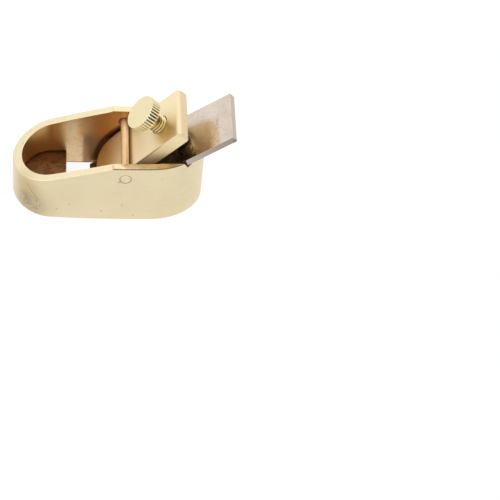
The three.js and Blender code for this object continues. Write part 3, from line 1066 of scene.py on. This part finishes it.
bmesh.ops.recalc_face_normals(cap_shape, faces=cap_shape.faces)
rear_edges = [
    edge for edge in cap_shape.edges
    if all(abs(vert.co.x - nose_tip - CAP_SIZE.x) < NEAR for vert in edge.verts)
    and abs(edge.verts[0].co.y - edge.verts[1].co.y) > CAP_SIZE.z
]
bevel(cap_shape, rear_edges, REAR_ROUND, REAR_STEPS)
cap_tilt = CAP_ANGLE - BED_ANGLE
slice_off(cap_shape, Vector((-PIN_REACH, 0, under)), Vector((-math.sin(cap_tilt), 0, -math.cos(cap_tilt))))
cap = to_object(cap_shape, "brass_lever_cap", on_pin, cap_brass)

groove_shape = lathe(both_ways([(0, CAP_SIZE.y), (GROOVE_RADIUS, CAP_SIZE.y)]), TURNED_STEPS)
groove = to_object(groove_shape, "groove", on_pin @ along_y, cap_brass)
bore_shape = lathe(
    [(0, under - BEYOND), (BORE, under - BEYOND), (BORE, CAP_TOP - COUNTERSINK),
     (BORE + COUNTERSINK, CAP_TOP), (BORE + COUNTERSINK, CAP_TOP + BEYOND), (0, CAP_TOP + BEYOND)],
    TURNED_STEPS,
)
bore = to_object(bore_shape, "bore", on_screw, cap_brass)
combine(cap, [groove, bore])
rework(cap, lambda shape: soften(shape, CAP_BREAK, least=50))
settle(cap, "lever_cap", "lever_cap")

# %% [markdown]
# ## The thumbscrew
#
# Both pieces are turned from one bright brass, so the finish has fine rings round the axis. Painted shade
# lies in the flutes of the head, most on the side towards the cap, and between the crests of the thread,
# and a painted shadow darkens the thread just under the head.

# %% Material: thumbscrew
HEAD_SEAT = 2.95
HEAD_THICKNESS = 2.75
FLUTE_SHADE_AT = (4.2, -1.2, 4.3)
UNDER_HEAD_SHADOW = (2, -1.1, 1.5)
RINGS_PER_METRE = 5200

head_top = HEAD_SEAT + HEAD_THICKNESS


def make_screw_brass():
    material, tree, shader, place = new_metal("screw brass")
    own = turned_place(place, on_screw)
    z = axes(own)["Z"]
    radius = vectors("LENGTH", vectors("MULTIPLY", own, (1, 1, 0))[0])["Value"]
    rings = add(tree, "ShaderNodeTexNoise", {"W": times(radius, RINGS_PER_METRE), "Scale": 1,
                                             "Detail": 2}, noise_dimensions="1D").outputs["Fac"]
    patches = use(tree, blotches_group, {"Place": own, "Size": 0.004, "Cover": 0.42, "Softness": 0.16})
    marks = use(tree, marks_group, {"Place": own, "Spacing": 0.0026, "Speck": 0.07})
    edge = use(tree, edge_group, {"Radius": 0.00025, "Breakup": 0.6})["Edge"]
    # Painted shade in the flutes, strongest on one side, and in the roots of the thread.
    in_flutes = times(ramp(radius, 4.12, 4.44, 1, 0), ramp(z, HEAD_SEAT + 0.05, HEAD_SEAT + 0.2),
                      ramp(z, head_top - 0.1, head_top - 0.2))
    in_thread = times(ramp(radius, 1.95, 2.2, 1, 0), ramp(z, HEAD_SEAT, HEAD_SEAT - 0.1))
    shadier = remap(spot(own, FLUTE_SHADE_AT, 1.5, 5.5), 0, 1, 0.3, 1)
    recess_shade = most(times(in_flutes, shadier), times(in_thread, 0.75))
    # A painted shadow on the thread just under the head.
    painted_head_shadow = times(spot(own, UNDER_HEAD_SHADOW, 0.6, 1.9), ramp(radius, 2.5, 2.4))
    tint = coats(
        (240, 226, 182),
        (patches["Mask"], 0.35, (224, 205, 152)),
        (edge, 0.4, (252, 242, 204)),
        (marks["Specks"], 0.6, (132, 104, 62)),
        (painted_head_shadow, 0.8, (102, 74, 30)),
        (recess_shade, 0.95, (62, 44, 20)),
    )
    rough = maths("ADD", remap(rings, 0.3, 0.7, 0.26, 0.36), times(recess_shade, 0.2))
    finish(tree, shader, tint, rough, rings, 0.008, 0.4)
    return material


screw_brass = make_screw_brass()

# %% [markdown]
# The shank carries a real thread. A short zigzag, one pitch high, is spun round the axis and climbs one
# pitch in each turn, so that each turn meets the one below. Both ends are then sliced square, and the cut
# faces are drawn out into the tip and into the spigot that goes up into the head.

# %% Piece: shank
CREST = 2.3
ROOT = 1.92
PITCH = 0.8
THREAD_PROFILE = [(ROOT, 0), (ROOT, 0.12), (CREST, 0.48), (CREST, 0.64), (ROOT, 1)]
THREAD_START = 1.4
SPARE_TURNS = 3
TURN_STEPS = 48
THREAD_WELD = 0.001
SCREW_TIP = -8.07
TIP_LENGTH = 0.6
TIP_STEP = ROOT * 0.96
TIP_RADIUS = 1.2
SPIGOT_LENGTH = 1.5
SPIGOT_RADIUS = 1.6
SHANK_TOP = HEAD_SEAT - 0.1


def draw_plug(shape, height, length, *radii):
    """Draws the flat end at a height out into a plug: in to one radius, then along and in to the next."""
    end = [face for face in shape.faces if abs(face.calc_center_median().z - height) < THREAD_WELD
           and abs(face.normal.z) > 0.99]
    for radius, step in zip(radii, (0, length)):
        drawn = draw_out(shape, end, (0, 0, 0))
        bmesh.ops.delete(shape, geom=end, context="FACES_ONLY")
        end = [part for part in drawn if isinstance(part, bmesh.types.BMFace)]
        for vert in points_of(drawn):
            vert.co.xy *= radius / vert.co.xy.length
            vert.co.z += step


thread_bottom = SCREW_TIP + TIP_LENGTH
turns = math.ceil((SHANK_TOP - thread_bottom) / PITCH) + SPARE_TURNS
shank_shape = bmesh.new()
start = thread_bottom - THREAD_START * PITCH
points = [shank_shape.verts.new((radius, 0, start + share * PITCH)) for radius, share in THREAD_PROFILE]
lines = [shank_shape.edges.new(pair) for pair in zip(points, points[1:])]
bmesh.ops.spin(
    shank_shape, geom=points + lines, cent=(0, 0, 0), axis=(0, 0, 1), dvec=(0, 0, PITCH / TURN_STEPS),
    angle=2 * math.pi * turns, steps=TURN_STEPS * turns,
)
bmesh.ops.remove_doubles(shank_shape, verts=shank_shape.verts, dist=THREAD_WELD)
slice_off(shank_shape, Vector((0, 0, thread_bottom)), Vector((0, 0, -1)))
slice_off(shank_shape, Vector((0, 0, SHANK_TOP)), Vector((0, 0, 1)))
shank_shape.normal_update()
draw_plug(shank_shape, thread_bottom, -TIP_LENGTH, TIP_STEP, TIP_RADIUS)
draw_plug(shank_shape, SHANK_TOP, SPIGOT_LENGTH, SPIGOT_RADIUS, SPIGOT_RADIUS)
bmesh.ops.recalc_face_normals(shank_shape, faces=shank_shape.faces)
shank = to_object(shank_shape, "threaded_shank", on_screw, screw_brass)
settle(shank, "thumbscrew_shank", "thumbscrew_shank")
print("turns of thread:", turns)

# %% [markdown]
# The head is a thick disc with straight knurling. The profile is spun with eight steps to each flute, and
# the points of the rim that lie in a flute are then pushed in. The flutes stop just short of the face, so
# its outline stays round, as on the real one.

# %% Piece: head
HEAD_RADIUS = 4.5
HEAD_EDGE = 0.14
FLUTES = 36
FLUTE_DEPTH = 0.42
FLUTE_SHAPE = [0, 0, 0, 0.1, 0.6, 1, 1, 0.5]
FACE_LIP = 0.1
FACE_DOME = 0.02
SOCKET_RADIUS = 1.7
SOCKET_DEPTH = 1.5

head_steps = FLUTES * len(FLUTE_SHAPE)
rim = [
    (HEAD_RADIUS - 2 * HEAD_EDGE, 0), (HEAD_RADIUS - HEAD_EDGE, 0),
    (HEAD_RADIUS - 0.3 * HEAD_EDGE, 0.3 * HEAD_EDGE), (HEAD_RADIUS, HEAD_EDGE),
]
head_shape = lathe(
    [(0, SOCKET_DEPTH), (SOCKET_RADIUS, SOCKET_DEPTH), (SOCKET_RADIUS, 0)]
    + rim + [(HEAD_RADIUS, HEAD_THICKNESS / 2)]
    + [(radius, HEAD_THICKNESS - height) for radius, height in reversed(rim)]
    + [(0, HEAD_THICKNESS + FACE_DOME)],
    head_steps,
)
for vert in head_shape.verts:
    distance = vert.co.xy.length
    if distance > HEAD_RADIUS - FLUTE_DEPTH and vert.co.z < HEAD_THICKNESS - FACE_LIP:
        step = round(math.atan2(vert.co.y, vert.co.x) / (2 * math.pi) * head_steps)
        limit = HEAD_RADIUS - FLUTE_DEPTH * FLUTE_SHAPE[step % len(FLUTE_SHAPE)]
        if distance > limit:
            vert.co.xy *= limit / distance
head = to_object(head_shape, "knurled_head", on_screw @ Matrix.Translation((0, 0, HEAD_SEAT)), screw_brass)
settle(head, "thumbscrew_head", "thumbscrew_head")

# %% [markdown]
# ## Floor, world and light
#
# The photograph has a plain white ground. The floor is grey and takes a soft shadow, and it glows for the
# camera and for reflections, so that it reads as white. The world is white for the camera and for
# reflections too, and dimmer as a source of light. Large soft lamps do the rest.

# %% Floor
FLOOR_GREY = (0.15, 0.15, 0.15, 1)
FLOOR_GLOW = 0.9
FLOOR_HALF = 3000
WHITE = (1, 1, 1, 1)


def seen_or_reflected(tree):
    """1 for rays from the camera and for rays from gloss or through glass."""
    rays = add(tree, "ShaderNodeLightPath").outputs
    return most(rays["Is Camera Ray"], rays["Is Glossy Ray"], rays["Is Transmission Ray"])


floor_paint = bpy.data.materials.new("floor")
floor_paint.use_nodes = True
floor_tree = floor_paint.node_tree
floor_shader = floor_tree.nodes["Principled BSDF"]
floor_shader.inputs["Base Color"].default_value = FLOOR_GREY
floor_shader.inputs["Roughness"].default_value = 0.9
floor_shader.inputs["Specular IOR Level"].default_value = 0
floor_shader.inputs["Emission Color"].default_value = WHITE
glow = times(seen_or_reflected(floor_tree), FLOOR_GLOW)
floor_tree.links.new(glow, floor_shader.inputs["Emission Strength"])
floor_shape = bmesh.new()
bmesh.ops.create_grid(floor_shape, x_segments=1, y_segments=1, size=FLOOR_HALF)
to_object(floor_shape, "floor", Matrix.Identity(4), floor_paint)

# %% World and lamps
ROOM_LIGHT = 0.55

world = bpy.data.worlds.new("white room")
bpy.context.scene.world = world
world.use_nodes = True
room = world.node_tree
light_from_room = room.nodes["Background"]
light_from_room.inputs["Color"].default_value = WHITE
light_from_room.inputs["Strength"].default_value = ROOM_LIGHT
white_room = add(room, "ShaderNodeBackground", {"Color": WHITE, "Strength": 1.0})
either = add(room, "ShaderNodeMixShader", {0: seen_or_reflected(room), 1: light_from_room.outputs[0],
                                           2: white_room.outputs[0]})
room.links.new(either.outputs[0], room.nodes["World Output"].inputs["Surface"])


def softbox(name, place, size, power):
    """A square lamp that looks at the plane. Its place and its size are in metres."""
    lamp = bpy.data.lights.new(name, "AREA")
    lamp.shape = "SQUARE"
    lamp.size = size
    lamp.energy = power
    box = bpy.data.objects.new(name, lamp)
    box.location = place
    box.rotation_euler = (Vector(place) - AIM).to_track_quat("Z", "Y").to_euler()
    bpy.context.scene.collection.objects.link(box)


softbox("over the far side", (0.05, 0.55, 0.6), 0.7, 0.9)
softbox("over the toe", (-0.65, -0.1, 0.5), 0.7, 1.6)
softbox("over the camera", (0.35, -0.65, 0.75), 0.8, 2.2)

scene = bpy.context.scene
scene.view_settings.view_transform = "Standard"
